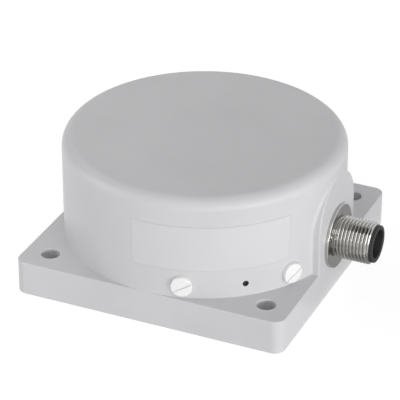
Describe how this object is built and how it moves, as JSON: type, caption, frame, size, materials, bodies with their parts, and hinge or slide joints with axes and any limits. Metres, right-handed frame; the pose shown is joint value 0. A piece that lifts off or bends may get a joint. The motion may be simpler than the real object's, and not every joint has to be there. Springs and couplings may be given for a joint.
{
  "type": "inductive distance sensor",
  "caption": "Square-based round inductive distance sensor with a flat sensing face, a side plug connector, slotted adjustment plugs and a drilled mounting plate.",
  "frame": {"origin": "centre of the square mounting plate's bottom face, in the middle of the four mounting holes", "axes": "+Z through the sensing face, +X out along the connector, +Y to its left seen from above"},
  "size_m": [0.0922, 0.0806, 0.04],
  "materials": {
    "housing_plastic": "fine satin light grey moulding",
    "cover_plastic": "satin grey moulding",
    "seal_rubber": "matt black rubber",
    "screw_steel": "zinc-plated",
    "brass": "turned brass",
    "board_laminate": "green solder mask",
    "ferrite": "dark sintered ferrite",
    "former_plastic": "natural moulded plastic",
    "copper_wire": "enamelled copper",
    "holder_plastic": "black moulded plastic",
    "chip_plastic": "black moulded epoxy",
    "can_aluminium": "drawn aluminium can",
    "chip_ceramic": "sintered chip body",
    "plug_plastic": "smooth white plastic",
    "trimmer_plastic": "blue moulded plastic",
    "rotor_plastic": "white moulded plastic",
    "light_guide_plastic": "dark smoked clear plastic",
    "led_resin": "tinted clear resin",
    "nickel_plated": "bright nickel plating on brass",
    "insert_plastic": "black moulded plastic",
    "contact_gold": "gold-plated contact",
    "label_film": "bare satin label film"
  },
  "bodies": {
    "root": {"housing": "housing_plastic", "base_cover": "cover_plastic", "cover_gasket": "seal_rubber", "cover_screws": "screw_steel", "board_standoffs": "brass", "circuit_board": "board_laminate", "ferrite_core": "ferrite", "coil_former": "former_plastic", "coil_winding": "copper_wire", "coil_leads": "copper_wire", "core_holder": "holder_plastic", "holder_screws": "screw_steel", "control_chip": "chip_plastic", "capacitors": "can_aluminium", "voltage_regulator": "chip_plastic", "clock_crystal": "can_aluminium", "chip_passives": "chip_ceramic", "trimmer_1_body": "trimmer_plastic", "trimmer_2_body": "trimmer_plastic", "light_guide": "light_guide_plastic", "indicator_led": "led_resin", "connector_shell": "nickel_plated", "connector_seal": "seal_rubber", "connector_washer": "screw_steel", "connector_nut": "nickel_plated", "connector_insert": "insert_plastic", "contact_pin_1": "contact_gold", "contact_pin_2": "contact_gold", "contact_pin_3": "contact_gold", "contact_pin_4": "contact_gold", "connector_board": "board_laminate", "link_header": "insert_plastic", "label_foil": "label_film"},
    "plug_1_lifted": {"plug_1_seal": "seal_rubber"},
    "plug_1_turned": {"plug_1": "plug_plastic"},
    "plug_2_lifted": {"plug_2_seal": "seal_rubber"},
    "plug_2_turned": {"plug_2": "plug_plastic"},
    "trimmer_1_turned": {"trimmer_1_rotor": "rotor_plastic"},
    "trimmer_2_turned": {"trimmer_2_rotor": "rotor_plastic"}
  },
  "joints": [
    {"name": "plug_1_lift", "type": "slide", "parent": "root", "child": "plug_1_lifted", "axis": [0.2588, -0.9659, 0], "range_m": [0, 0.0035]},
    {"name": "plug_1_turn", "type": "hinge", "parent": "plug_1_lifted", "child": "plug_1_turned", "pos_m": [0.0102, -0.03806, 0.0138], "axis": [0.2588, -0.9659, 0], "range_deg": [0, 1800]},
    {"name": "plug_2_lift", "type": "slide", "parent": "root", "child": "plug_2_lifted", "axis": [0.866, -0.5, 0], "range_m": [0, 0.0035]},
    {"name": "plug_2_turn", "type": "hinge", "parent": "plug_2_lifted", "child": "plug_2_turned", "pos_m": [0.03412, -0.0197, 0.0138], "axis": [0.866, -0.5, 0], "range_deg": [0, 1800]},
    {"name": "trimmer_1_turn", "type": "hinge", "parent": "root", "child": "trimmer_1_turned", "pos_m": [0.00844, -0.03149, 0.0138], "axis": [0.2588, -0.9659, 0], "range_deg": [-135, 135]},
    {"name": "trimmer_2_turn", "type": "hinge", "parent": "root", "child": "trimmer_2_turned", "pos_m": [0.02823, -0.0163, 0.0138], "axis": [0.866, -0.5, 0], "range_deg": [-135, 135]}
  ],
  "couplings": [
    {"joint": "plug_1_turn", "follows": "plug_1_lift", "rad_per_m": 8976},
    {"joint": "plug_2_turn", "follows": "plug_2_lift", "rad_per_m": 8976}
  ]
}
